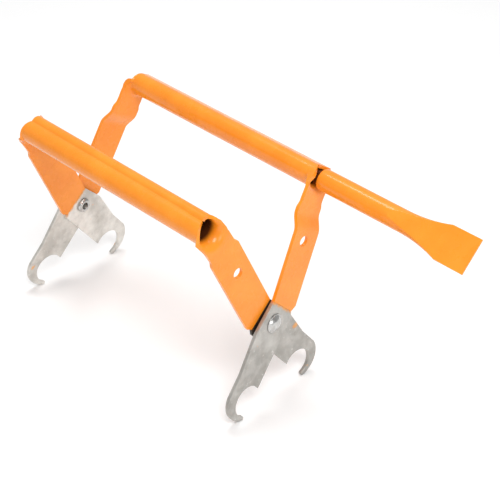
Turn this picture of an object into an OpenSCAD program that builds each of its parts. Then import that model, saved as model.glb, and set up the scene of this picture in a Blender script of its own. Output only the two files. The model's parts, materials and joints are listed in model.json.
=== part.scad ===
// Beehive frame grip with pry bar. Millimetres, +X to the pry bar's blade, +Y to the far handle,
// +Z up. The origin is under the middle of the whole tool, on the plane its four hooks stand on.

/* [Tool] */
// angle of each handle from upright, as the open tool stands
open_angle = 29; // [25:1:31]
// outer face of the arms at their bends, from the middle of the grips
neck_x = 75.4; // [74:0.1:80]
// how far the front arms splay outwards per unit of height
splay_front = 0.05; // [0.02:0.01:0.06]
// how far the rear arms splay outwards per unit of height
splay_rear = 0.10; // [0.04:0.01:0.11]
// handle sheet thickness
sheet = 2.0; // [1.6:0.1:2.2]
// jaw plate thickness
jaw_plate = 2.2; // [2:0.1:2.6]
// gap between the two front plates
front_gap = 1.2; // [1.1:0.1:1.6]
// gap between the two rear plates
rear_gap = 2.2; // [2.1:0.1:2.6]

/* [Grips] */
// hinge axis to the centre of the rolled grip
reach = 84.4; // [83:0.2:88]
// outer radius of the grip's round side
grip_r = 8.05; // [7.8:0.05:8.3]
// radius of the near grip's outer lobe
outer_lobe_r = 6.6; // [6.4:0.1:6.8]
// radius of the near grip's inner lobe
inner_lobe_r = 4.2; // [4:0.1:4.4]
// height of the inner lobe's centre over the grip's
inner_lobe_v = 1.7; // [1.5:0.1:1.9]
// height of the far grip's flat top over its centre
far_height = 5.35; // [5.2:0.05:5.6]
// front end of the rolled grips
grip_front = 68.5; // [66:0.5:69]
// rear end of the rolled grips
grip_rear = -69.0; // [-69.2:0.2:-64]
// how far the seams lie to the inner side
seam_offset = 2.1; // [1.9:0.1:2.2]
// width of the seam where the sheet's edges meet
seam_gap = 0.5; // [0.4:0.1:0.8]

/* [Arms] */
// inside radius of the bend from grip to arm
bend_r = 4.0; // [3.6:0.1:4.2]
// half width of the neck under the grip
neck_half = 8.9; // [8.4:0.1:9.2]
// half width of the arm at its shoulders
shoulder_half = 10.2; // [9.8:0.1:10.6]
// height of the shoulders over the hinge
shoulder_u = 65; // [63:0.5:66]
// height where the arms start to splay
splay_u = 72; // [71:0.5:73]
// height of the spring hole over the hinge
spring_hole_u = 48.2; // [42:0.2:50]
// radius of the spring hole
spring_hole_r = 3.1; // [2.5:0.1:3.5]
// height where the far arms' offset starts
joggle_top_u = 62; // [60:0.5:63]
// height where the far arms' offset ends
joggle_end_u = 54; // [53:0.5:56]
// height of the arm's end over the hinge, at the front
weld_front_u = 10.5; // [9.5:0.1:11]
// height of the arm's end over the hinge, at the rear
weld_rear_u = 8.0; // [7.6:0.1:9]
// tilt of the arm's end
weld_tilt = 15; // [13:1:17]

/* [Jaws] */
// radius of the hook's throat
throat_r = 9.4; // [8.8:0.1:9.5]
// centre of the throat across the jaw
throat_w = -1.0; // [-1.4:0.1:-0.6]
// centre of the throat below the hinge
throat_u = -47.0; // [-47.4:0.1:-46.6]
// radius of the hook's back
hook_r = 13.6; // [13.4:0.1:14]
// centre of the hook's back across the jaw
hook_w = 1.8; // [1.4:0.1:2.2]
// centre of the hook's back below the hinge
hook_u = -45.6; // [-46:0.1:-45.4]
// where the hook's point ends across the jaw
point_w = -1.6; // [-2:0.1:-1.2]

/* [Rivets] */
// rivet shank radius
shank_r = 3.0; // [2.6:0.1:3.2]
// running clearance of the near jaws on the rivets
run_clear = 0.06; // [0.04:0.01:0.09]
// rivet head radius
head_r = 5.7; // [5.2:0.1:6]
// rivet head height
head_h = 2.7; // [2:0.1:3]
// radius of the rivet's rolled hollow end
tail_r = 4.5; // [4.2:0.1:4.8]
// depth of the hollow in the rivet's end
hollow_depth = 4.0; // [3:0.1:5]

/* [Pry bar] */
// pry bar radius
bar_r = 6.2; // [5.9:0.1:6.3]
// radius of the bar's stepped end inside the far grip
spigot_r = 3.9; // [3.5:0.1:4]
// length of the stepped end inside the grip
spigot_length = 45; // [30:1:60]
// where the round bar ends
bar_round_x = 126; // [118:1:130]
// where the blade has its full width
blade_full_x = 158.5; // [154:0.5:162]
// blade edge
bar_tip_x = 176.5; // [170:0.5:190]
// blade width
blade_width = 20.4; // [18:0.2:22]
// blade thickness
blade_thick = 3.0; // [2.4:0.1:3.4]
// turn of the blade from the grip's upright plane
blade_turn = 16; // [0:1:30]

/* [Hidden] */
near_front_face = neck_x + splay_front * splay_u;
near_rear_face = neck_x + splay_rear * splay_u;
far_front_face = near_front_face + front_gap + jaw_plate;
far_rear_face = near_rear_face + rear_gap + jaw_plate;
flare_r = grip_r + bend_r;
inner_r = grip_r - sheet;
bar_drop = 1.2;
bend_sweep = 160;
bend_inset = 0.08;
bend_tongue = 1.0;
point_out = sqrt(pow(hook_r, 2) - pow(hook_w - point_w, 2));
point_in = sqrt(pow(throat_r, 2) - pow(throat_w - point_w, 2));
point_r = (point_out - hook_u - point_in + throat_u) / 2;
point_u = hook_u - point_out + point_r;
hinge_z = point_r - point_w * sin(open_angle) - point_u * cos(open_angle);
head_ball_r = (pow(head_r, 2) + pow(head_h, 2)) / (2 * head_h);
rear_x = far_rear_face + splay_rear * (hook_r - hook_u);
mid_x = (bar_tip_x - rear_x) / 2;
weld_in_w = 7.0;
weld_out_w = -11.6;
arm_low_w = -13.8;
chamfer = 3.8;
shoulder_rise = 3.5;
shoulder_lag = 1.0;
blade_neck_x = 146.5;
blade_neck_half = 6.6;
bar_start_x = neck_x + 0.9;
collar_length = 3.5;
collar_low = -2.4;
edge_thick = 1.0;
edge_inset = 0.4;
blade_taper = 0.3;
bar_bevel = 1.0;
spigot_bevel = 0.6;
jaw_corner = [-6.3, -40];
jaw_shoulder = [-13.4, 3];
jaw_waist = [12.2, -7];
jaw_back = [12.9, -31];
trim_edge = 1.0;
jaw_foot_u = -80;
jaw_top_u = 20;
eps = 0.01;
big = 400;
bore_r = shank_r + run_clear;
snug_clear = 0.02;
snug_r = shank_r + snug_clear;
hollow_r = shank_r - 0.9;
tail_h = 1.7;
tail_clear = 0.1;

$fn = 64;

// puts the hinge axis at its height and the tool's middle over the origin
module place() {
    translate([-mid_x, 0, hinge_z])
        children();
}

// the near half leans to -Y; inside, Y runs across the arm and Z up it from the hinge
module near_side() {
    place()
        rotate([open_angle, 0, 0])
            children();
}

module far_side() {
    place()
        mirror([0, 1, 0])
            rotate([open_angle, 0, 0])
                children();
}

// a flat shape drawn across (x) and up (y) the arm, as a plate from x0 towards +X
module plate(x0, thick) {
    translate([x0, 0, 0])
        rotate([90, 0, 90])
            linear_extrude(thick)
                children();
}

module upper_half() {
    translate([-big, 0])
        square([2 * big, big]);
}

module lower_disc(r) {
    difference() {
        circle(r);
        upper_half();
    }
}

module seam_slit() {
    translate([seam_offset - seam_gap / 2, 0])
        square([seam_gap, big]);
}

// outline of the near grip: round below, two lobes above that meet in a shallow groove
module near_outline(inset) {
    lower_disc(grip_r - inset);
    intersection() {
        union() {
            translate([outer_lobe_r - grip_r, 0])
                circle(outer_lobe_r - inset);
            translate([grip_r - inner_lobe_r, inner_lobe_v])
                circle(inner_lobe_r - inset);
            square([grip_r - inset, inner_lobe_v]);
        }
        upper_half();
    }
}

module near_section() {
    difference() {
        near_outline(0);
        near_outline(sheet);
        seam_slit();
    }
}

// outline of the far grip, which closes flatter over the pry bar's end
module far_outline(inset) {
    side = grip_r - far_height;
    r = far_height - inset;
    lower_disc(grip_r - inset);
    intersection() {
        union() {
            translate([-side, 0])
                circle(r);
            translate([side, 0])
                circle(r);
            translate([-side, 0])
                square([2 * side, r]);
        }
        upper_half();
    }
}

module far_section() {
    difference() {
        far_outline(0);
        far_outline(sheet);
        seam_slit();
    }
}

// the grip's round side bending down into the arm, about the grip's own axis; it is a little
// thinner than the sheet, so its ends lie inside the grip's wall and the arm
module neck_bend(grip_end) {
    bend_x = neck_x - sheet - bend_r;
    bend_sheet = sheet - 2 * bend_inset;
    translate([0, 0, reach])
        intersection() {
            rotate([0, 90, 0])
                rotate([0, 0, -bend_sweep / 2])
                    rotate_extrude(angle = bend_sweep) {
                        translate([inner_r + bend_inset, grip_end - bend_tongue])
                            square([bend_sheet, bend_x - grip_end + bend_tongue]);
                        translate([flare_r, bend_x])
                            intersection() {
                                difference() {
                                    circle(bend_r + sheet - bend_inset);
                                    circle(bend_r + bend_inset);
                                }
                                translate([-big, 0])
                                    square([big, big]);
                            }
                        translate([flare_r, bend_x + bend_r + bend_inset])
                            square([bend_tongue, bend_sheet]);
                    }
            translate([0, -neck_half, -big])
                cube([big, 2 * neck_half, big]);
        }
}

// the two ends of the line where an arm meets its jaw
function weld_in(u) = [weld_in_w, u + weld_in_w * tan(weld_tilt)];
function weld_out(u) = [weld_out_w, u + weld_out_w * tan(weld_tilt)];

module arm_outline(weld_u) {
    difference() {
        polygon([
            [-neck_half, reach],
            [neck_half, reach],
            [neck_half, shoulder_u + shoulder_rise],
            [shoulder_half, shoulder_u],
            weld_in(weld_u),
            weld_out(weld_u),
            [arm_low_w, weld_out(weld_u)[1] + chamfer],
            [-shoulder_half, shoulder_u + shoulder_lag],
            [-neck_half, shoulder_u + shoulder_rise + shoulder_lag]
        ]);
        translate([0, reach])
            circle(flare_r);
    }
}

module spring_hole() {
    translate([0, 0, spring_hole_u])
        rotate([0, 90, 0])
            cylinder(h = big, r = spring_hole_r);
}

// a side view drawn in X and height, taken right across the arm
module side_view() {
    rotate([90, 0, 0])
        linear_extrude(big, center = true)
            children();
}

// the arm's side view: upright at the neck, then splayed, with a step of off in the far arms
module arm_side(splay, off) {
    low_x = neck_x + splay * splay_u + off;
    top_x = neck_x + splay * (splay_u - joggle_top_u);
    end_x = low_x - splay * joggle_end_u;
    side_view()
        polygon([
            [neck_x - sheet, reach],
            [neck_x, reach],
            [neck_x, splay_u],
            [top_x, joggle_top_u],
            [end_x, joggle_end_u],
            [low_x, 0],
            [low_x - sheet, 0],
            [end_x - sheet, joggle_end_u],
            [top_x - sheet, joggle_top_u],
            [neck_x - sheet, splay_u]
        ]);
}

module arm(weld_u, splay, off) {
    intersection() {
        plate(neck_x - sheet, sheet + splay * splay_u + off)
            arm_outline(weld_u);
        arm_side(splay, off);
    }
}

module grip_tube() {
    translate([grip_rear, 0, reach])
        rotate([90, 0, 90])
            linear_extrude(grip_front - grip_rear)
                children();
}

module near_handle() {
    color("darkorange")
        near_side() {
            difference() {
                union() {
                    grip_tube()
                        near_section();
                    neck_bend(grip_front);
                    arm(weld_front_u, splay_front, 0);
                }
                spring_hole();
            }
            mirror([1, 0, 0]) {
                neck_bend(-grip_rear);
                arm(weld_rear_u, splay_rear, 0);
            }
        }
}

// the far grip's upper part, run forward round the pry bar's stepped end
module far_collar() {
    translate([grip_front - eps, 0, reach])
        rotate([90, 0, 90])
            linear_extrude(collar_length + eps)
                intersection() {
                    far_section();
                    translate([-big / 2, collar_low])
                        square(big);
                }
}

module far_handle() {
    color("darkorange")
        far_side() {
            difference() {
                union() {
                    grip_tube()
                        far_section();
                    far_collar();
                    neck_bend(grip_front);
                    arm(weld_front_u, splay_front, far_front_face - near_front_face);
                }
                spring_hole();
            }
            mirror([1, 0, 0]) {
                neck_bend(-grip_rear);
                arm(weld_rear_u, splay_rear, far_rear_face - near_rear_face);
            }
        }
}

// cuts away what a square holds outside a disc
module trim_to_disc(from, centre, r, size) {
    difference() {
        translate(from)
            square(size);
        translate(centre)
            circle(r);
    }
}

module jaw_outline(weld_u) {
    right = hook_w + hook_r;
    bottom = hook_u - hook_r - trim_edge;
    left = point_w - point_r - trim_edge / 2;
    difference() {
        polygon([
            weld_in(weld_u),
            jaw_waist,
            jaw_back,
            [right, hook_u],
            [right, bottom],
            [left, bottom],
            [left, throat_u],
            jaw_corner,
            jaw_shoulder,
            weld_out(weld_u)
        ]);
        translate([throat_w, throat_u])
            circle(throat_r);
        trim_to_disc([point_w, bottom - trim_edge], [hook_w, hook_u], hook_r,
            [right - point_w + trim_edge, hook_u - bottom + trim_edge]);
        trim_to_disc([left - trim_edge, bottom - trim_edge], [point_w, point_u], point_r,
            [point_w - left + trim_edge, throat_u - bottom + trim_edge]);
    }
}

// outer_face is where the plate's outer side crosses the hinge axis
module jaw(outer_face, weld_u, splay, bore) {
    inner_face = outer_face - jaw_plate;
    color("silver")
        intersection() {
            plate(inner_face - splay * jaw_top_u, jaw_plate + splay * (jaw_top_u - jaw_foot_u))
                difference() {
                    jaw_outline(weld_u);
                    circle(bore);
                }
            side_view()
                polygon([
                    [outer_face - splay * jaw_top_u, jaw_top_u],
                    [outer_face - splay * jaw_foot_u, jaw_foot_u],
                    [inner_face - splay * jaw_foot_u, jaw_foot_u],
                    [inner_face - splay * jaw_top_u, jaw_top_u]
                ]);
        }
}

module near_front_jaw() {
    near_side()
        jaw(near_front_face, weld_front_u, splay_front, bore_r);
}

module near_rear_jaw() {
    near_side()
        mirror([1, 0, 0])
            jaw(near_rear_face, weld_rear_u, splay_rear, bore_r);
}

module far_front_jaw() {
    far_side()
        jaw(far_front_face, weld_front_u, splay_front, snug_r);
}

module far_rear_jaw() {
    far_side()
        mirror([1, 0, 0])
            jaw(far_rear_face, weld_rear_u, splay_rear, snug_r);
}

// the dome sits flat on the splayed outer plate
module rivet_head(face, splay) {
    translate([face, 0, 0])
        rotate([0, 90 - atan(splay), 0])
            intersection() {
                translate([0, 0, head_h - head_ball_r])
                    sphere(head_ball_r);
                cylinder(h = 2 * head_h, r = 2 * head_r);
            }
}

// domed head outside, shank through both plates, rolled hollow end inside
module rivet(face, gap, splay) {
    tail_x = face - 2 * jaw_plate - gap - tail_clear - splay * tail_r;
    color("lightgray")
        difference() {
            union() {
                rivet_head(face, splay);
                rotate([0, 90, 0]) {
                    translate([0, 0, tail_x])
                        cylinder(h = face + head_h / 5 - tail_x, r = shank_r);
                    translate([0, 0, tail_x])
                        rotate_extrude() {
                            translate([tail_r - tail_h, 0])
                                intersection() {
                                    circle(tail_h);
                                    translate([-big, -big])
                                        square([2 * big, big]);
                                }
                            translate([0, -tail_h])
                                square([tail_r - tail_h, tail_h]);
                        }
                }
            }
            translate([tail_x - 2 * tail_h, 0, 0])
                rotate([0, 90, 0])
                    cylinder(h = hollow_depth + tail_h, r = hollow_r);
        }
}

module front_rivet() {
    far_side()
        rivet(far_front_face, front_gap, splay_front);
}

module rear_rivet() {
    far_side()
        mirror([1, 0, 0])
            rivet(far_rear_face, rear_gap, splay_rear);
}

// round bar, stepped down where it enters the grip and run out into a flat blade
module pry_bar() {
    color("darkorange")
        far_side()
            translate([0, 0, reach - bar_drop])
                rotate([blade_turn, 0, 0]) {
                    rotate([0, 90, 0])
                        rotate_extrude()
                            polygon([
                                [0, grip_front - spigot_length],
                                [spigot_r - spigot_bevel, grip_front - spigot_length],
                                [spigot_r, grip_front - spigot_length + spigot_bevel],
                                [spigot_r, bar_start_x],
                                [bar_r - bar_bevel, bar_start_x],
                                [bar_r, bar_start_x + bar_bevel],
                                [bar_r, bar_round_x],
                                [0, bar_round_x]
                            ]);
                    hull() {
                        translate([bar_round_x - eps, 0, 0])
                            rotate([0, 90, 0])
                                cylinder(h = eps, r = bar_r, $fn = 32);
                        translate([blade_neck_x, -blade_thick / 2, -blade_neck_half])
                            cube([eps, blade_thick, 2 * blade_neck_half]);
                    }
                    hull() {
                        translate([blade_neck_x, -blade_thick / 2, -blade_neck_half])
                            cube([eps, blade_thick, 2 * blade_neck_half]);
                        translate([blade_full_x, -blade_thick / 2 + blade_taper, -blade_width / 2])
                            cube([eps, blade_thick - 2 * blade_taper, blade_width]);
                    }
                    hull() {
                        translate([blade_full_x, -blade_thick / 2 + blade_taper, -blade_width / 2])
                            cube([eps, blade_thick - 2 * blade_taper, blade_width]);
                        translate([bar_tip_x - eps, -edge_thick / 2, -blade_width / 2 + edge_inset])
                            cube([eps, edge_thick, blade_width - 2 * edge_inset]);
                    }
                }
}

near_handle();
far_handle();
pry_bar();
near_front_jaw();
near_rear_jaw();
far_front_jaw();
far_rear_jaw();
front_rivet();
rear_rivet();
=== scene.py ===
"""Looks of the beehive frame grip, built round its CAD frame: sheet handles, pry bar, jaws and rivets."""

import json
import math

import bmesh
import bpy
from mathutils import Matrix, Vector


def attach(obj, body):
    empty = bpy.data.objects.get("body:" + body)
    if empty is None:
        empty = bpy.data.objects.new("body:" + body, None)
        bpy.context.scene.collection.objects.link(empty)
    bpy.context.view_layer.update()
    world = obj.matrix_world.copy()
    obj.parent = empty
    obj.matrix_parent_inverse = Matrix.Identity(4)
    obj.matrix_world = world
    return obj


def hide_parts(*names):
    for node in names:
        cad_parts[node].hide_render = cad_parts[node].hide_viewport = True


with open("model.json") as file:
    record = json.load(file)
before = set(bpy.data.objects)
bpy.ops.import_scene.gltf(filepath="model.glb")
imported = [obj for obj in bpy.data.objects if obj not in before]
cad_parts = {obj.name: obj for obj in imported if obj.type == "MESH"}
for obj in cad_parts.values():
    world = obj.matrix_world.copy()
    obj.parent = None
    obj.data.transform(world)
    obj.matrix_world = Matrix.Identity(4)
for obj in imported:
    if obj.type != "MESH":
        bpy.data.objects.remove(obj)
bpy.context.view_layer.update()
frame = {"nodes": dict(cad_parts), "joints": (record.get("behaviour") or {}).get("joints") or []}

MM = 0.001
HINGE = Vector(frame["joints"][0]["pos_m"])

# sizes that follow the CAD's, in millimetres; angles are in radians, splays and tilts are slopes
OPEN_ANGLE = math.radians(29)
REACH = 84.4
NECK_X = 75.4
SHEET = 2.0
JAW_PLATE = 2.2
SPLAY = {"front": 0.05, "rear": 0.10}
GAP = {"front": 1.2, "rear": 2.2}
SPLAY_U = 72.0
WELD_U = {"front": 10.5, "rear": 8.0}
WELD_TILT = math.tan(math.radians(15))
WELD_IN_W, WELD_OUT_W, ARM_LOW_W = 7.0, -11.6, -13.8
CHAMFER = 3.8
GRIP_R = 8.05
GRIP_FRONT, GRIP_REAR = 68.5, -69.0
MID_R = GRIP_R - SHEET / 2
BEND_R = 4.0
NECK_HALF, SHOULDER_HALF = 8.9, 10.2
SHOULDER_TOP, SHOULDER_U = 69.0, 65.0
JOGGLE_TOP, JOGGLE_END = 62.0, 54.0
TROUGH_ANGLE = math.radians(80)
HOLE_U, HOLE_R = 48.2, 3.1
BAR_R, BAR_U, BLADE_TURN = 6.2, 83.2, math.radians(16)
OUTER_LOBE_R, INNER_LOBE_R, INNER_LOBE_V = 6.6, 4.2, 1.7
FAR_HEIGHT = 5.35
# how far a wing (-1 outer, 1 inner) runs past the grip's front end, at the seam and at the neck
RIM_REACH = {
    ("near", -1): (0.0, 4.2),
    ("near", 1): (0.0, 3.4),
    ("far", 1): (3.2, 8.0),
    ("far", -1): (3.4, 7.2),
}
# rows round the neck's bend, and how many of them a wing's end is joined to
BEND_STEPS, RIM_ROWS = 8, 7
# extra reach of the far grip's outer wing, over the bar, and of its inner wing
HOOD_REACH, RIM_SWELL = 2.6, 0.3
# reach of a wing past the grip's rear end, at the neck
REAR_REACH = 2.4
# middle of the orange mark on the near front jaw: x, w and u
BLOT = (80.2, 10.0, -21.0)
RIVET = {"shank": 3.0, "head": 5.7, "height": 2.7, "tail": 4.5, "roll": 1.7, "hollow": 2.1, "deep": 4.0}


def local(side, x, w, u):
    """Row frame point, metres, of a half's own plate coordinates: across w and up u from the hinge."""
    y = w * math.cos(OPEN_ANGLE) - u * math.sin(OPEN_ANGLE)
    z = w * math.sin(OPEN_ANGLE) + u * math.cos(OPEN_ANGLE)
    if side == "far":
        y = -y
    return HINGE + Vector((x, y, z)) * MM


def face_x(side, end):
    """Outer face of a jaw where it crosses the hinge axis, mm from the grips' middle."""
    x = NECK_X + SPLAY[end] * SPLAY_U
    return x + (GAP[end] + JAW_PLATE if side == "far" else 0)


def smooth(t):
    t = min(max(t, 0.0), 1.0)
    return t * t * (3 - 2 * t)


def mix(a, b, t):
    return a + (b - a) * t


def mesh_object(name, bm, body, material, slot, *replaced):
    """Turns a bmesh into a piece that rides on a body, with outward normals and smooth shading."""
    bmesh.ops.recalc_face_normals(bm, faces=bm.faces)
    for face in bm.faces:
        face.smooth = True
    mesh = bpy.data.meshes.new(name)
    bm.to_mesh(mesh)
    bm.free()
    piece = bpy.data.objects.new(name, mesh)
    bpy.context.scene.collection.objects.link(piece)
    mesh.materials.append(material)
    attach(piece, body)
    if replaced:
        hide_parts(*replaced)
    return piece


def soften(piece, width_mm, angle=35, segments=2):
    """Rounds the sharp edges that shearing and paint leave soft."""
    bevel = piece.modifiers.new("soft_edges", "BEVEL")
    bevel.width = width_mm * MM
    bevel.segments = segments
    bevel.limit_method = "ANGLE"
    bevel.angle_limit = math.radians(angle)
    bevel.harden_normals = True
    bevel.use_clamp_overlap = True


# ---- materials -------------------------------------------------------------------------------


def new_material(name):
    material = bpy.data.materials.new(name)
    material.use_nodes = True
    nodes, links = material.node_tree.nodes, material.node_tree.links
    return material, nodes, links, nodes["Principled BSDF"]


def noise(nodes, links, coords, scale, detail=4.0, rough=0.55, stretch=None):
    """A noise texture on the row-frame coordinates, optionally stretched along an axis."""
    tex = nodes.new("ShaderNodeTexNoise")
    tex.inputs["Scale"].default_value = scale
    tex.inputs["Detail"].default_value = detail
    tex.inputs["Roughness"].default_value = rough
    source = coords
    if stretch:
        mapping = nodes.new("ShaderNodeMapping")
        mapping.inputs["Scale"].default_value = stretch
        links.new(coords, mapping.inputs["Vector"])
        source = mapping.outputs["Vector"]
    links.new(source, tex.inputs["Vector"])
    return tex.outputs["Fac"]


def ramp(nodes, links, value, low, high, from_value=0.0, to_value=1.0):
    node = nodes.new("ShaderNodeMapRange")
    node.interpolation_type = "SMOOTHSTEP"
    node.inputs["From Min"].default_value = low
    node.inputs["From Max"].default_value = high
    node.inputs["To Min"].default_value = from_value
    node.inputs["To Max"].default_value = to_value
    links.new(value, node.inputs["Value"])
    return node.outputs["Result"]


def mix_colour(nodes, links, fac, a, b):
    node = nodes.new("ShaderNodeMix")
    node.data_type = "RGBA"
    links.new(fac, node.inputs[0])
    for socket, value in ((node.inputs[6], a), (node.inputs[7], b)):
        if isinstance(value, tuple):
            socket.default_value = (*value, 1)
        else:
            links.new(value, socket)
    return node.outputs[2]


def bump(nodes, links, shader, height, distance, strength=0.5, after=None):
    node = nodes.new("ShaderNodeBump")
    node.inputs["Strength"].default_value = strength
    node.inputs["Distance"].default_value = distance
    links.new(height, node.inputs["Height"])
    if after is not None:
        links.new(after, node.inputs["Normal"])
    links.new(node.outputs["Normal"], shader.inputs["Normal"])
    return node.outputs["Normal"]


def vector_node(nodes, links, operation, a, b):
    node = nodes.new("ShaderNodeVectorMath")
    node.operation = operation
    for socket, value in zip(node.inputs, (a, b)):
        if isinstance(value, (tuple, Vector)):
            socket.default_value = value
        else:
            links.new(value, socket)
    return node


def number_node(nodes, links, operation, a, b):
    node = nodes.new("ShaderNodeMath")
    node.operation = operation
    for socket, value in zip(node.inputs, (a, b)):
        if isinstance(value, (int, float)):
            socket.default_value = value
        else:
            links.new(value, socket)
    return node.outputs[0]


def grip_inside_shade(nodes, links):
    """1 where shade is painted near-black: inside the rolled grips and on the bar's stepped end within the
    grip.
    """
    coord_node = nodes.new("ShaderNodeTexCoord")
    coords, normal = coord_node.outputs["Object"], coord_node.outputs["Normal"]
    masks = []
    for side in ("near", "far"):
        axis = local(side, 0, 0, REACH)
        offset = vector_node(nodes, links, "SUBTRACT", coords, axis).outputs["Vector"]
        along = vector_node(nodes, links, "DOT_PRODUCT", offset, (1, 0, 0)).outputs["Value"]
        radial = vector_node(nodes, links, "MULTIPLY", offset, (0, 1, 1)).outputs["Vector"]
        distance = vector_node(nodes, links, "LENGTH", radial, (0, 0, 0)).outputs["Value"]
        facing = vector_node(nodes, links, "DOT_PRODUCT", radial, normal).outputs["Value"]
        inward = ramp(nodes, links, facing, 0.0, -0.002)
        close = ramp(nodes, links, distance, 7.6 * MM, 7.2 * MM)
        deep = ramp(nodes, links, number_node(nodes, links, "ABSOLUTE", along, 0), 70.8 * MM, 66.8 * MM)
        wall = number_node(nodes, links, "MULTIPLY", inward, close)
        masks.append(number_node(nodes, links, "MULTIPLY", wall, deep))
    bar = vector_node(nodes, links, "SUBTRACT", coords, local("far", 0, 0, BAR_U)).outputs["Vector"]
    bar_radial = vector_node(nodes, links, "MULTIPLY", bar, (0, 1, 1)).outputs["Vector"]
    bar_distance = vector_node(nodes, links, "LENGTH", bar_radial, (0, 0, 0)).outputs["Value"]
    bar_along = vector_node(nodes, links, "DOT_PRODUCT", bar, (1, 0, 0)).outputs["Value"]
    before_step = ramp(nodes, links, bar_along, BAR_START * MM, (BAR_START - 0.4) * MM)
    thin = ramp(nodes, links, bar_distance, 5 * MM, 4.4 * MM)
    masks.append(number_node(nodes, links, "MULTIPLY", thin, before_step))
    grips = number_node(nodes, links, "MAXIMUM", masks[0], masks[1])
    return number_node(nodes, links, "MAXIMUM", grips, masks[2])


def powder_coat():
    """Gloss orange powder coat: orange peel, faint rub marks, slight waves, painted shade inside the grips.
    """
    material, nodes, links, shader = new_material("orange_powder_coat")
    coords = nodes.new("ShaderNodeTexCoord").outputs["Object"]
    broad = noise(nodes, links, coords, 55, 3)
    drift = ramp(nodes, links, broad, 0.35, 0.7)
    tone = mix_colour(nodes, links, drift, (0.90, 0.265, 0.013), (0.95, 0.30, 0.020))
    rubs = noise(nodes, links, coords, 240, 6, 0.65, (0.12, 1.0, 1.0))
    tone = mix_colour(nodes, links, ramp(nodes, links, rubs, 0.70, 0.80, 0.0, 0.3), tone, (0.95, 0.40, 0.09))
    # painted shade: the grips' insides and the bar's stepped end within the far grip are darkened to
    # near-black
    tone = mix_colour(nodes, links, grip_inside_shade(nodes, links), tone, (0.075, 0.018, 0.005))
    links.new(tone, shader.inputs["Base Color"])
    sheen = noise(nodes, links, coords, 130, 4)
    links.new(ramp(nodes, links, sheen, 0.3, 0.75, 0.22, 0.34), shader.inputs["Roughness"])
    shader.inputs["Specular IOR Level"].default_value = 0.3
    shader.inputs["Coat Weight"].default_value = 0.35
    shader.inputs["Coat Roughness"].default_value = 0.08
    peel = noise(nodes, links, coords, 900, 2, 0.4)
    first = bump(nodes, links, shader, peel, 0.00006, 0.35)
    waves = noise(nodes, links, coords, 120, 2, 0.4)
    bump(nodes, links, shader, waves, 0.0004, 0.18, first)
    return material


def jaw_steel(name, side, end):
    """Bare steel: clouded grey, smudges, bright patches, overspray by the paint line, orange specks, and
    painted light that makes the rear jaws lighter than the front ones.

    The near front jaw also has a band of painted shade at its joint, in the gap under the far jaw, and one
    orange mark.
    """
    material, nodes, links, shader = new_material(name)
    coords = nodes.new("ShaderNodeTexCoord").outputs["Object"]
    clouds = noise(nodes, links, coords, 70, 5, 0.6)
    # painted light: the rear jaws' steel is lightened and the front jaws' darkened for how the light falls on
    # them
    painted_light_lift = 0.92 if end == "front" else 1.35
    dull, clean = (tuple(painted_light_lift * c for c in tint) for tint in ((0.40, 0.385, 0.355), (0.62, 0.605, 0.57)))
    tone = mix_colour(nodes, links, ramp(nodes, links, clouds, 0.3, 0.72), dull, clean)
    smudge = noise(nodes, links, coords, 190, 7, 0.7)
    dirt = ramp(nodes, links, smudge, 0.60, 0.78, 0, 0.55)
    tone = mix_colour(nodes, links, dirt, tone, (0.25, 0.225, 0.19))
    bright = noise(nodes, links, coords, 420, 3, 0.5)
    tone = mix_colour(nodes, links, ramp(nodes, links, bright, 0.62, 0.75, 0, 0.5), tone, (0.78, 0.77, 0.75))
    weld = local(side, 0, 0, WELD_U[end])
    up = local(side, 0, -WELD_TILT, 1) - local(side, 0, 0, 0)
    up.normalize()
    offset = vector_node(nodes, links, "SUBTRACT", coords, weld).outputs["Vector"]
    height = vector_node(nodes, links, "DOT_PRODUCT", offset, up)
    spray = noise(nodes, links, coords, 330, 5, 0.7)
    reach = nodes.new("ShaderNodeMath")
    reach.operation = "MULTIPLY_ADD"
    reach.inputs[1].default_value = 0.0045
    links.new(spray, reach.inputs[0])
    links.new(height.outputs["Value"], reach.inputs[2])
    tone = mix_colour(nodes, links, ramp(nodes, links, reach.outputs["Value"], 0.0004, 0.0024, 0, 0.85), tone,
                      (0.80, 0.33, 0.05))
    specks = noise(nodes, links, coords, 150, 2, 0.4)
    flecks = ramp(nodes, links, specks, 0.735, 0.775, 0, 0.7)
    tone = mix_colour(nodes, links, flecks, tone, (0.83, 0.40, 0.12))
    if (side, end) == ("near", "front"):
        # painted shade: a near-black band across the near front jaw by its joint with the arm, in the gap
        # under the far jaw
        joint_shade_reach = number_node(nodes, links, "ADD", height.outputs["Value"], 0.0042)
        painted_joint_shade = ramp(nodes, links, joint_shade_reach, 0, 0.0012, 0, 0.93)
        tone = mix_colour(nodes, links, painted_joint_shade, tone, (0.018, 0.013, 0.009))
        blot = vector_node(nodes, links, "SUBTRACT", coords, local(side, *BLOT)).outputs["Vector"]
        spread = vector_node(nodes, links, "LENGTH", blot, (0, 0, 0)).outputs["Value"]
        wander = number_node(nodes, links, "MULTIPLY", smudge, 0.006)
        ragged = number_node(nodes, links, "ADD", spread, wander)
        paint = ramp(nodes, links, ragged, 0.0058, 0.0042, 0, 0.8)
        tone = mix_colour(nodes, links, paint, tone, (0.83, 0.38, 0.10))
    links.new(tone, shader.inputs["Base Color"])
    shader.inputs["Metallic"].default_value = 0.72
    links.new(ramp(nodes, links, smudge, 0.3, 0.75, 0.38, 0.60), shader.inputs["Roughness"])
    first = bump(nodes, links, shader, noise(nodes, links, coords, 1400, 3, 0.6), 0.00003, 0.4)
    bump(nodes, links, shader, noise(nodes, links, coords, 260, 5, 0.6), 0.00012, 0.35, first)
    return material


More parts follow.
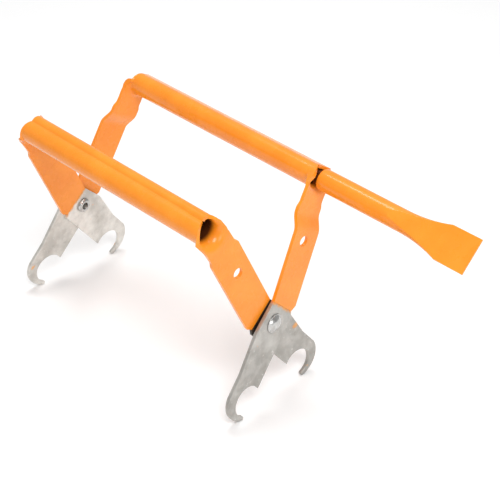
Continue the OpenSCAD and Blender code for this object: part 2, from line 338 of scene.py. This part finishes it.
def rivet_steel():
    """Bright steel with slightly uneven tone and surface."""
    material, nodes, links, shader = new_material("rivet_steel")
    coords = nodes.new("ShaderNodeTexCoord").outputs["Object"]
    clouds = noise(nodes, links, coords, 500, 4, 0.6)
    drift = ramp(nodes, links, clouds, 0.35, 0.7)
    tone = mix_colour(nodes, links, drift, (0.46, 0.455, 0.44), (0.66, 0.655, 0.64))
    links.new(tone, shader.inputs["Base Color"])
    shader.inputs["Metallic"].default_value = 1.0
    links.new(ramp(nodes, links, clouds, 0.3, 0.7, 0.14, 0.24), shader.inputs["Roughness"])
    bump(nodes, links, shader, noise(nodes, links, coords, 700, 3, 0.5), 0.00005, 0.25)
    return material


# ---- handles ---------------------------------------------------------------------------------

TROUGH_COLUMNS = 22
TROUGH = [mix(-1, 1, i / TROUGH_COLUMNS) for i in range(TROUGH_COLUMNS + 1)]


def arc(cx, cy, r, start, end, steps):
    return [
        (cx + r * math.cos(math.radians(mix(start, end, i / steps))),
         cy + r * math.sin(math.radians(mix(start, end, i / steps))))
        for i in range(steps + 1)
    ]


def near_flanks():
    """The rolled sheet's mid-line above the trough, outer and inner side, up to the shallow seam groove."""
    left = arc(OUTER_LOBE_R - GRIP_R, 0, OUTER_LOBE_R - 1, 180, 53.5, 12)
    right = [(MID_R, -0.3), (MID_R, 0.8)]
    right += arc(GRIP_R - INNER_LOBE_R, INNER_LOBE_V, INNER_LOBE_R - 1, 0, 117, 10)
    return left, right


def far_flanks():
    """The far grip closes over the pry bar's end, with a narrow seam on the inner side."""
    lobe = FAR_HEIGHT
    side = GRIP_R - lobe
    left = [(-MID_R, -0.5)] + arc(-side, 0, lobe - 1, 180, 90, 8)
    left += [(-1.2, lobe - 1), (0.3, lobe - 1), (1.95, lobe - 1)]
    right = [(MID_R, -0.5)] + arc(side, 0, lobe - 1, 0, 90, 8) + [(2.15, lobe - 1)]
    return left, right


def half_width(u, weld_u, sign):
    """Distance of an arm's edge from its middle at height u, on the inner (+1) or outer (-1) side."""
    top = SHOULDER_TOP + (0.8 if sign < 0 else 0)
    low = SHOULDER_U + (0.8 if sign < 0 else 0)
    if u >= low:
        return mix(SHOULDER_HALF, NECK_HALF, smooth((u - low) / (top - low)))
    if sign > 0:
        end_u, end_w = weld_u + WELD_IN_W * WELD_TILT, WELD_IN_W
    else:
        end_u, end_w = weld_u + WELD_OUT_W * WELD_TILT + CHAMFER, -ARM_LOW_W
    return mix(end_w, SHOULDER_HALF, (u - end_u) / (low - end_u))


def arm_x(side, end, u):
    """Mid-plane of an arm at height u: upright neck, then splayed, with the far arms' smooth step."""
    x = NECK_X - SHEET / 2 + SPLAY[end] * max(SPLAY_U - u, 0)
    if side == "far":
        x += (GAP[end] + JAW_PLATE) * smooth((JOGGLE_TOP + 1 - u) / (JOGGLE_TOP - JOGGLE_END + 2))
    return x


def arm_rows(weld_u):
    """Heights and tilts of the arm's rows from the neck to the paint line."""
    rows = [(71.3, 0), (70.4, 0)]
    rows += [(69.8 - 0.8 * i, 0) for i in range(9)]
    rows += [(62.6 - i, 0) for i in range(11)]
    rows += [(49.0, 0), (44.0, 0.04), (38.0, 0.08), (31.0, 0.13), (24.0, 0.2)]
    return rows + [(weld_u + 7.0, WELD_TILT), (weld_u + CHAMFER, WELD_TILT)]


def add_arm(bm, side, end, columns):
    """Carries the trough's columns round the bend, through the neck and down to the arm's end."""
    sign = 1 if end == "front" else -1
    weld_u = WELD_U[end]
    bend_x = NECK_X - SHEET - BEND_R
    mid_bend = BEND_R + SHEET / 2
    flare = GRIP_R + BEND_R
    grid = [columns]

    def add_row(points):
        grid.append([bm.verts.new(local(side, sign * x, w, u)) for x, w, u in points])

    for i in range(BEND_STEPS + 1):
        phi = math.radians(90 * i / BEND_STEPS)
        r = flare - mid_bend * math.cos(phi)
        widest = min(TROUGH_ANGLE, math.asin(min(1.0, NECK_HALF / r)))
        x = bend_x + mid_bend * math.sin(phi)
        add_row([(x, r * math.sin(t * widest), REACH - r * math.cos(t * widest)) for t in TROUGH])
    for row_u, tilt in arm_rows(weld_u):
        points = []
        for t in TROUGH:
            edge_sign = 1 if t > 0 else -1
            w = t * half_width(row_u, weld_u, edge_sign)
            for _ in range(4):
                w = t * half_width(row_u + tilt * w, weld_u, edge_sign)
            u = row_u + tilt * w
            points.append((arm_x(side, end, u), w, u))
        add_row(points)
    points = []
    for t in TROUGH:
        w = mix(WELD_OUT_W, WELD_IN_W, (t + 1) / 2)
        u = weld_u + w * WELD_TILT
        points.append((arm_x(side, end, u), w, u))
    add_row(points)
    for upper, lower in zip(grid, grid[1:]):
        for i in range(TROUGH_COLUMNS):
            bm.faces.new((upper[i], upper[i + 1], lower[i + 1], lower[i]))
    return grid


def add_rim(bm, side, end, flank, ring, edge, flank_side):
    """Sweeps a wing's end forward from the seam down to the neck's edge, as the blank's fillet does."""
    sign = 1 if end == "front" else -1
    tube_end = GRIP_FRONT if end == "front" else -GRIP_REAR
    lengths = [0.0]
    for a, b in zip(flank, flank[1:]):
        lengths.append(lengths[-1] + math.dist(a, b))
    seam_reach, neck_reach = RIM_REACH[side, flank_side]
    if end == "rear":
        seam_reach, neck_reach = 0.0, REAR_REACH
    previous = ring
    for k in range(1, RIM_ROWS + 1):
        phi = math.radians(90 * (k - 1) / BEND_STEPS)
        flare = (GRIP_R + BEND_R - (BEND_R + SHEET / 2) * math.cos(phi)) / MID_R
        row = []
        for (w, v), length in zip(flank, lengths):
            near_neck = 1 - length / lengths[-1]
            reach = mix(seam_reach, neck_reach, near_neck)
            if side == "near" and flank_side < 0:
                reach = neck_reach * math.sin(math.pi / 2 * near_neck)
            elif side == "near":
                reach = neck_reach * near_neck ** 2.5
            elif flank_side > 0 and end == "front":
                reach += RIM_SWELL * math.sin(math.pi * near_neck)
            if side == "far" and flank_side < 0 and end == "front":
                reach += HOOD_REACH * math.sin(math.pi * min(1, 1.4 * near_neck)) ** 2
            spread = mix(1, flare, 0.7 * near_neck ** 4)
            x = tube_end + reach * k / RIM_ROWS
            row.append(bm.verts.new(local(side, sign * x, w * spread, REACH + v)))
        for i in range(len(row) - 1):
            bm.faces.new((previous[i], previous[i + 1], row[i + 1], row[i]))
        bm.faces.new((previous[0], row[0], edge[k], edge[k - 1]))
        previous = row


def handle(name, side, body, material):
    """One handle as a single formed sheet: rolled grip, necks at both ends and two arms."""
    left, right = near_flanks() if side == "near" else far_flanks()
    trough = [(MID_R * math.sin(t * TROUGH_ANGLE), -MID_R * math.cos(t * TROUGH_ANGLE)) for t in TROUGH]
    profile = list(reversed(left)) + trough + right
    first = len(left)
    bm = bmesh.new()
    rings = []
    steps = 14
    for i in range(steps + 1):
        x = mix(GRIP_REAR, GRIP_FRONT, i / steps)
        rings.append([bm.verts.new(local(side, x, w, REACH + v)) for w, v in profile])
    for a, b in zip(rings, rings[1:]):
        for i in range(len(profile) - 1):
            bm.faces.new((a[i], a[i + 1], b[i + 1], b[i]))
    for end, ring in (("front", rings[-1]), ("rear", rings[0])):
        grid = add_arm(bm, side, end, ring[first:first + TROUGH_COLUMNS + 1])
        add_rim(bm, side, end, left, ring[first - 1::-1], [row[0] for row in grid], -1)
        add_rim(bm, side, end, right, ring[first + TROUGH_COLUMNS + 1:], [row[-1] for row in grid], 1)
    piece = mesh_object(name, bm, body, material, "orange_powder_coat", f"{side}_handle")
    solid = piece.modifiers.new("sheet", "SOLIDIFY")
    solid.thickness = SHEET * MM
    solid.offset = 0
    solid.use_even_offset = True
    solid.use_quality_normals = True
    drill = hole_cutter(side)
    cut = piece.modifiers.new("spring_hole", "BOOLEAN")
    cut.operation = "DIFFERENCE"
    cut.solver = "EXACT"
    cut.object = drill
    apply_modifiers(piece)
    bpy.data.objects.remove(drill)
    soften(piece, 0.42, 35, 3)
    weld = piece.modifiers.new("merge_slivers", "WELD")
    weld.merge_threshold = 0.006 * MM
    return piece


def hole_cutter(side):
    """A drill through the front arm's spring hole."""
    bm = bmesh.new()
    sides = 40
    start = local(side, NECK_X - 6, 0, HOLE_U)
    rings = []
    for x in (0, 14):
        rings.append([
            bm.verts.new(start + Vector((x, HOLE_R * math.cos(a), HOLE_R * math.sin(a))) * MM)
            for a in (2 * math.pi * i / sides for i in range(sides))
        ])
    for i in range(sides):
        j = (i + 1) % sides
        bm.faces.new((rings[0][i], rings[0][j], rings[1][j], rings[1][i]))
    bm.faces.new(rings[0])
    bm.faces.new(rings[1])
    bmesh.ops.recalc_face_normals(bm, faces=bm.faces)
    mesh = bpy.data.meshes.new("drill")
    bm.to_mesh(mesh)
    bm.free()
    drill = bpy.data.objects.new("drill", mesh)
    bpy.context.scene.collection.objects.link(drill)
    return drill


def apply_modifiers(piece):
    graph = bpy.context.evaluated_depsgraph_get()
    made = bpy.data.meshes.new_from_object(piece.evaluated_get(graph))
    materials = list(piece.data.materials)
    piece.modifiers.clear()
    piece.data = made
    made.materials.clear()
    for material in materials:
        made.materials.append(material)
    for polygon in made.polygons:
        polygon.use_smooth = True


# ---- pry bar ---------------------------------------------------------------------------------

BAR_SEGMENTS = 48
BAR_START, BAR_FLAT_X, BLADE_WIDEN_X = NECK_X + 0.9, 124.0, 132.0
BLADE_FULL_X, BAR_TIP_X = 158.5, 176.5
SPIGOT = [(23.5, 3.3), (24.1, 3.9), (BAR_START, 3.9), (BAR_START, BAR_R - 1)]
BEVEL_ANGLES = [math.pi / 8 * i for i in (1, 2, 3, 4)]
SPIGOT += [(BAR_START + 1 - math.cos(a), BAR_R - 1 + math.sin(a)) for a in BEVEL_ANGLES]
BLADE_HALF, BLADE_HALF_THICK, EDGE_HALF = 10.2, 1.5, 0.5


def bar_section(x):
    """Half width, half thickness of the round, and the height at which the forged flats cut it."""
    if x <= BAR_FLAT_X:
        return BAR_R, BAR_R, BAR_R
    widen = min(max((x - BLADE_WIDEN_X) / (BLADE_FULL_X - BLADE_WIDEN_X), 0), 1) ** 2.1
    half = mix(BAR_R, BLADE_HALF, widen)
    if x <= BLADE_FULL_X:
        flat = mix(BAR_R, BLADE_HALF_THICK, (x - BAR_FLAT_X) / (BLADE_FULL_X - BAR_FLAT_X))
    else:
        flat = mix(BLADE_HALF_THICK, EDGE_HALF, (x - BLADE_FULL_X) / (BAR_TIP_X - BLADE_FULL_X))
    return half, BAR_R, flat


def pry_bar(material):
    bm = bmesh.new()
    turn = OPEN_ANGLE + BLADE_TURN

    def point(x, thick, width):
        y = thick * math.cos(turn) - width * math.sin(turn)
        z = thick * math.sin(turn) + width * math.cos(turn)
        y -= BAR_U * math.sin(OPEN_ANGLE)
        z += BAR_U * math.cos(OPEN_ANGLE)
        return HINGE + Vector((x, -y, z)) * MM

    rings = []

    def ring(x, half, deep, flat):
        made = []
        crease = math.asin(min(flat / deep, 1.0))
        quarter = BAR_SEGMENTS // 4
        angles = []
        # points lie evenly on the round sides and on the flats, with one on each crease
        for start, end in ((-crease, crease), (crease, math.pi - crease),
                           (math.pi - crease, math.pi + crease), (math.pi + crease, 2 * math.pi - crease)):
            angles += [(mix(start, end, i / quarter), start, end) for i in range(quarter)]
        for a, start, end in angles:
            made.append((half * math.cos(a), max(-flat, min(flat, deep * math.sin(a)))))
        rings.append([bm.verts.new(point(x, thick, width)) for width, thick in made])

    for x, r in SPIGOT:
        ring(x, r, r, r * 0.999)
    for i in range(1, 13):
        x = mix(BAR_START + 1, BAR_FLAT_X, i / 12)
        ring(x, BAR_R, BAR_R, BAR_R * 0.999)
    for i in range(1, 25):
        x = mix(BAR_FLAT_X, BLADE_FULL_X, i / 24)
        ring(x, *bar_section(x))
    for i in range(1, 7):
        x = mix(BLADE_FULL_X, BAR_TIP_X, i / 6)
        ring(x, *bar_section(x))
    count = len(rings[0])
    for a, b in zip(rings, rings[1:]):
        for i in range(count):
            j = (i + 1) % count
            bm.faces.new((a[i], a[j], b[j], b[i]))
    bm.faces.new(rings[0])
    bm.faces.new(rings[-1])
    piece = mesh_object("pry_bar_forged", bm, "far_half", material, "orange_powder_coat", "pry_bar")
    soften(piece, 0.3, 28)
    return piece


# ---- jaws and rivets -------------------------------------------------------------------------


def refined_plate(node, body, material):
    """A jaw with its sheared edges softened, on the CAD node's own outline."""
    bm = bmesh.new()
    bm.from_mesh(frame["nodes"][node].data)
    bmesh.ops.remove_doubles(bm, verts=bm.verts, dist=0.01 * MM)
    bmesh.ops.dissolve_limit(bm, angle_limit=math.radians(0.4), verts=bm.verts, edges=bm.edges)
    piece = mesh_object(node + "_plate", bm, body, material, "bare_steel", node)
    soften(piece, 0.28)
    return piece


def lathe(bm, profile, origin, axis, segments=40):
    """Revolves (along, radius) points in mm about an axis from origin; the ends close on the axis."""
    axis = axis.normalized()
    side_a = axis.cross(Vector((0, 0, 1))).normalized()
    side_b = axis.cross(side_a)
    rings = []
    for along, radius in profile:
        if radius <= 0:
            rings.append([bm.verts.new(origin + axis * along * MM)])
            continue
        rings.append([
            bm.verts.new(origin + (axis * along
                                   + (side_a * math.cos(a) + side_b * math.sin(a)) * radius) * MM)
            for a in (2 * math.pi * i / segments for i in range(segments))
        ])
    for a, b in zip(rings, rings[1:]):
        for i in range(segments):
            j = (i + 1) % segments
            if len(a) == 1:
                bm.faces.new((a[0], b[j], b[i]))
            elif len(b) == 1:
                bm.faces.new((a[i], a[j], b[0]))
            else:
                bm.faces.new((a[i], a[j], b[j], b[i]))


def rivet(end, material):
    """Domed head flush on the outer plate, shank through both plates, rolled hollow end inside."""
    sign = 1 if end == "front" else -1
    face = face_x("far", end)
    splay = SPLAY[end]
    axis = Vector((sign, 0, 0))
    head_axis = local("far", sign, 0, splay) - local("far", 0, 0, 0)
    r, h = RIVET["head"], RIVET["height"]
    ball = (r * r + h * h) / (2 * h)
    dome = [(0, 0), (0, r - 0.25), (0.2, r), (0.55, r - 0.05)]
    for i in range(1, 9):
        out = (r - 0.35) * math.cos(math.pi / 2 * i / 8)
        dome.append((h - ball + math.sqrt(ball * ball - out * out), out if i < 8 else 0))
    dome[-1] = (h, 0)
    bm = bmesh.new()
    lathe(bm, dome, local("far", sign * face, 0, 0), head_axis)
    tail = face - 2 * JAW_PLATE - GAP[end] - 0.1 - splay * RIVET["tail"]
    roll, wide, bore = RIVET["roll"], RIVET["tail"], RIVET["hollow"]
    profile = [(face + 0.5, 0), (face + 0.5, RIVET["shank"]), (tail, RIVET["shank"])]
    for i in range(9):
        a = math.pi / 2 * i / 8
        profile.append((tail - roll * math.sin(a), wide - roll + roll * math.cos(a)))
    profile += [(tail - roll, bore + 0.25), (tail - roll + 0.25, bore)]
    bottom = tail - roll + RIVET["deep"]
    profile += [(bottom - 0.4, bore), (bottom, bore - 0.5), (bottom + 0.3, 0)]
    lathe(bm, profile, local("far", 0, 0, 0), axis)
    piece = mesh_object(f"{end}_rivet_set", bm, "far_half", material, "rivet_steel", f"{end}_rivet")
    soften(piece, 0.15, 40)
    return piece


# ---- stage -----------------------------------------------------------------------------------

CAMERA_BACK = (43.81, 34.87)
CAMERA_ROLL = 1.65
CAMERA_AIM = Vector((49.78, 13.05, 26.02))
CAMERA_DISTANCE = 777.2
CAMERA_LENS = 100.9


def camera():
    """The photograph's viewing angle, about the tool's hinge."""
    azimuth, elevation = (math.radians(a) for a in CAMERA_BACK)
    back = Vector((math.sin(azimuth) * math.cos(elevation), -math.cos(azimuth) * math.cos(elevation),
                   math.sin(elevation)))
    right = Vector((math.cos(azimuth), math.sin(azimuth), 0))
    up = back.cross(right)
    roll = math.radians(CAMERA_ROLL)
    turned = right * math.cos(roll) + up * math.sin(roll)
    upright = up * math.cos(roll) - right * math.sin(roll)
    data = bpy.data.cameras.new("camera")
    data.lens = CAMERA_LENS
    data.sensor_width = 36
    data.clip_start = 0.01
    cam = bpy.data.objects.new("camera", data)
    bpy.context.scene.collection.objects.link(cam)
    place = HINGE + (CAMERA_AIM + back * CAMERA_DISTANCE) * MM
    cam.matrix_world = Matrix((
        (turned.x, upright.x, back.x, place.x),
        (turned.y, upright.y, back.y, place.y),
        (turned.z, upright.z, back.z, place.z),
        (0, 0, 0, 1),
    ))
    bpy.context.scene.camera = cam


def area_light(name, place, aim, size, power, colour=(1, 1, 1)):
    data = bpy.data.lights.new(name, "AREA")
    data.shape = "RECTANGLE"
    data.size, data.size_y = size
    data.energy = power
    data.color = colour
    lamp = bpy.data.objects.new(name, data)
    bpy.context.scene.collection.objects.link(lamp)
    lamp.location = place
    lamp.rotation_euler = (Vector(aim) - Vector(place)).to_track_quat("-Z", "Y").to_euler()


def studio():
    """Plain pale floor and plain soft light."""
    bm = bmesh.new()
    half = 2.5
    square = ((-half, -half), (half, -half), (half, half), (-half, half))
    corners = [bm.verts.new((x, y, -0.0002)) for x, y in square]
    bm.faces.new(corners)
    mesh = bpy.data.meshes.new("floor")
    bm.to_mesh(mesh)
    bm.free()
    floor = bpy.data.objects.new("floor", mesh)
    bpy.context.scene.collection.objects.link(floor)
    material, _, _, shader = new_material("floor_white")
    shader.inputs["Base Color"].default_value = (0.93, 0.93, 0.93, 1)
    shader.inputs["Roughness"].default_value = 0.9
    shader.inputs["Specular IOR Level"].default_value = 0.1
    mesh.materials.append(material)
    world = bpy.data.worlds.new("studio")
    world.use_nodes = True
    world.node_tree.nodes["Background"].inputs["Color"].default_value = (1, 1, 1, 1)
    world.node_tree.nodes["Background"].inputs["Strength"].default_value = 0.5
    bpy.context.scene.world = world
    area_light("key", (0.55, -0.35, 0.95), (0, 0, 0.05), (0.6, 0.4), 6.0)
    area_light("top", (-0.25, 0.25, 1.1), (0, 0, 0.05), (0.7, 0.4), 6.0)
    area_light("front_fill", (1.0, -0.35, 0.30), (0, 0, 0.06), (0.5, 0.4), 1.5)
    bpy.context.scene.view_settings.view_transform = "Standard"


coat = powder_coat()
handle("near_handle_formed", "near", "near_half", coat)
handle("far_handle_formed", "far", "far_half", coat)
pry_bar(coat)
for half_name in ("near", "far"):
    for end_name in ("front", "rear"):
        steel = jaw_steel(f"jaw_steel_{half_name}_{end_name}", half_name, end_name)
        refined_plate(f"{half_name}_{end_name}_jaw", f"{half_name}_half", steel)
plated = rivet_steel()
rivet("front", plated)
rivet("rear", plated)
camera()
studio()

bpy.context.view_layer.update()
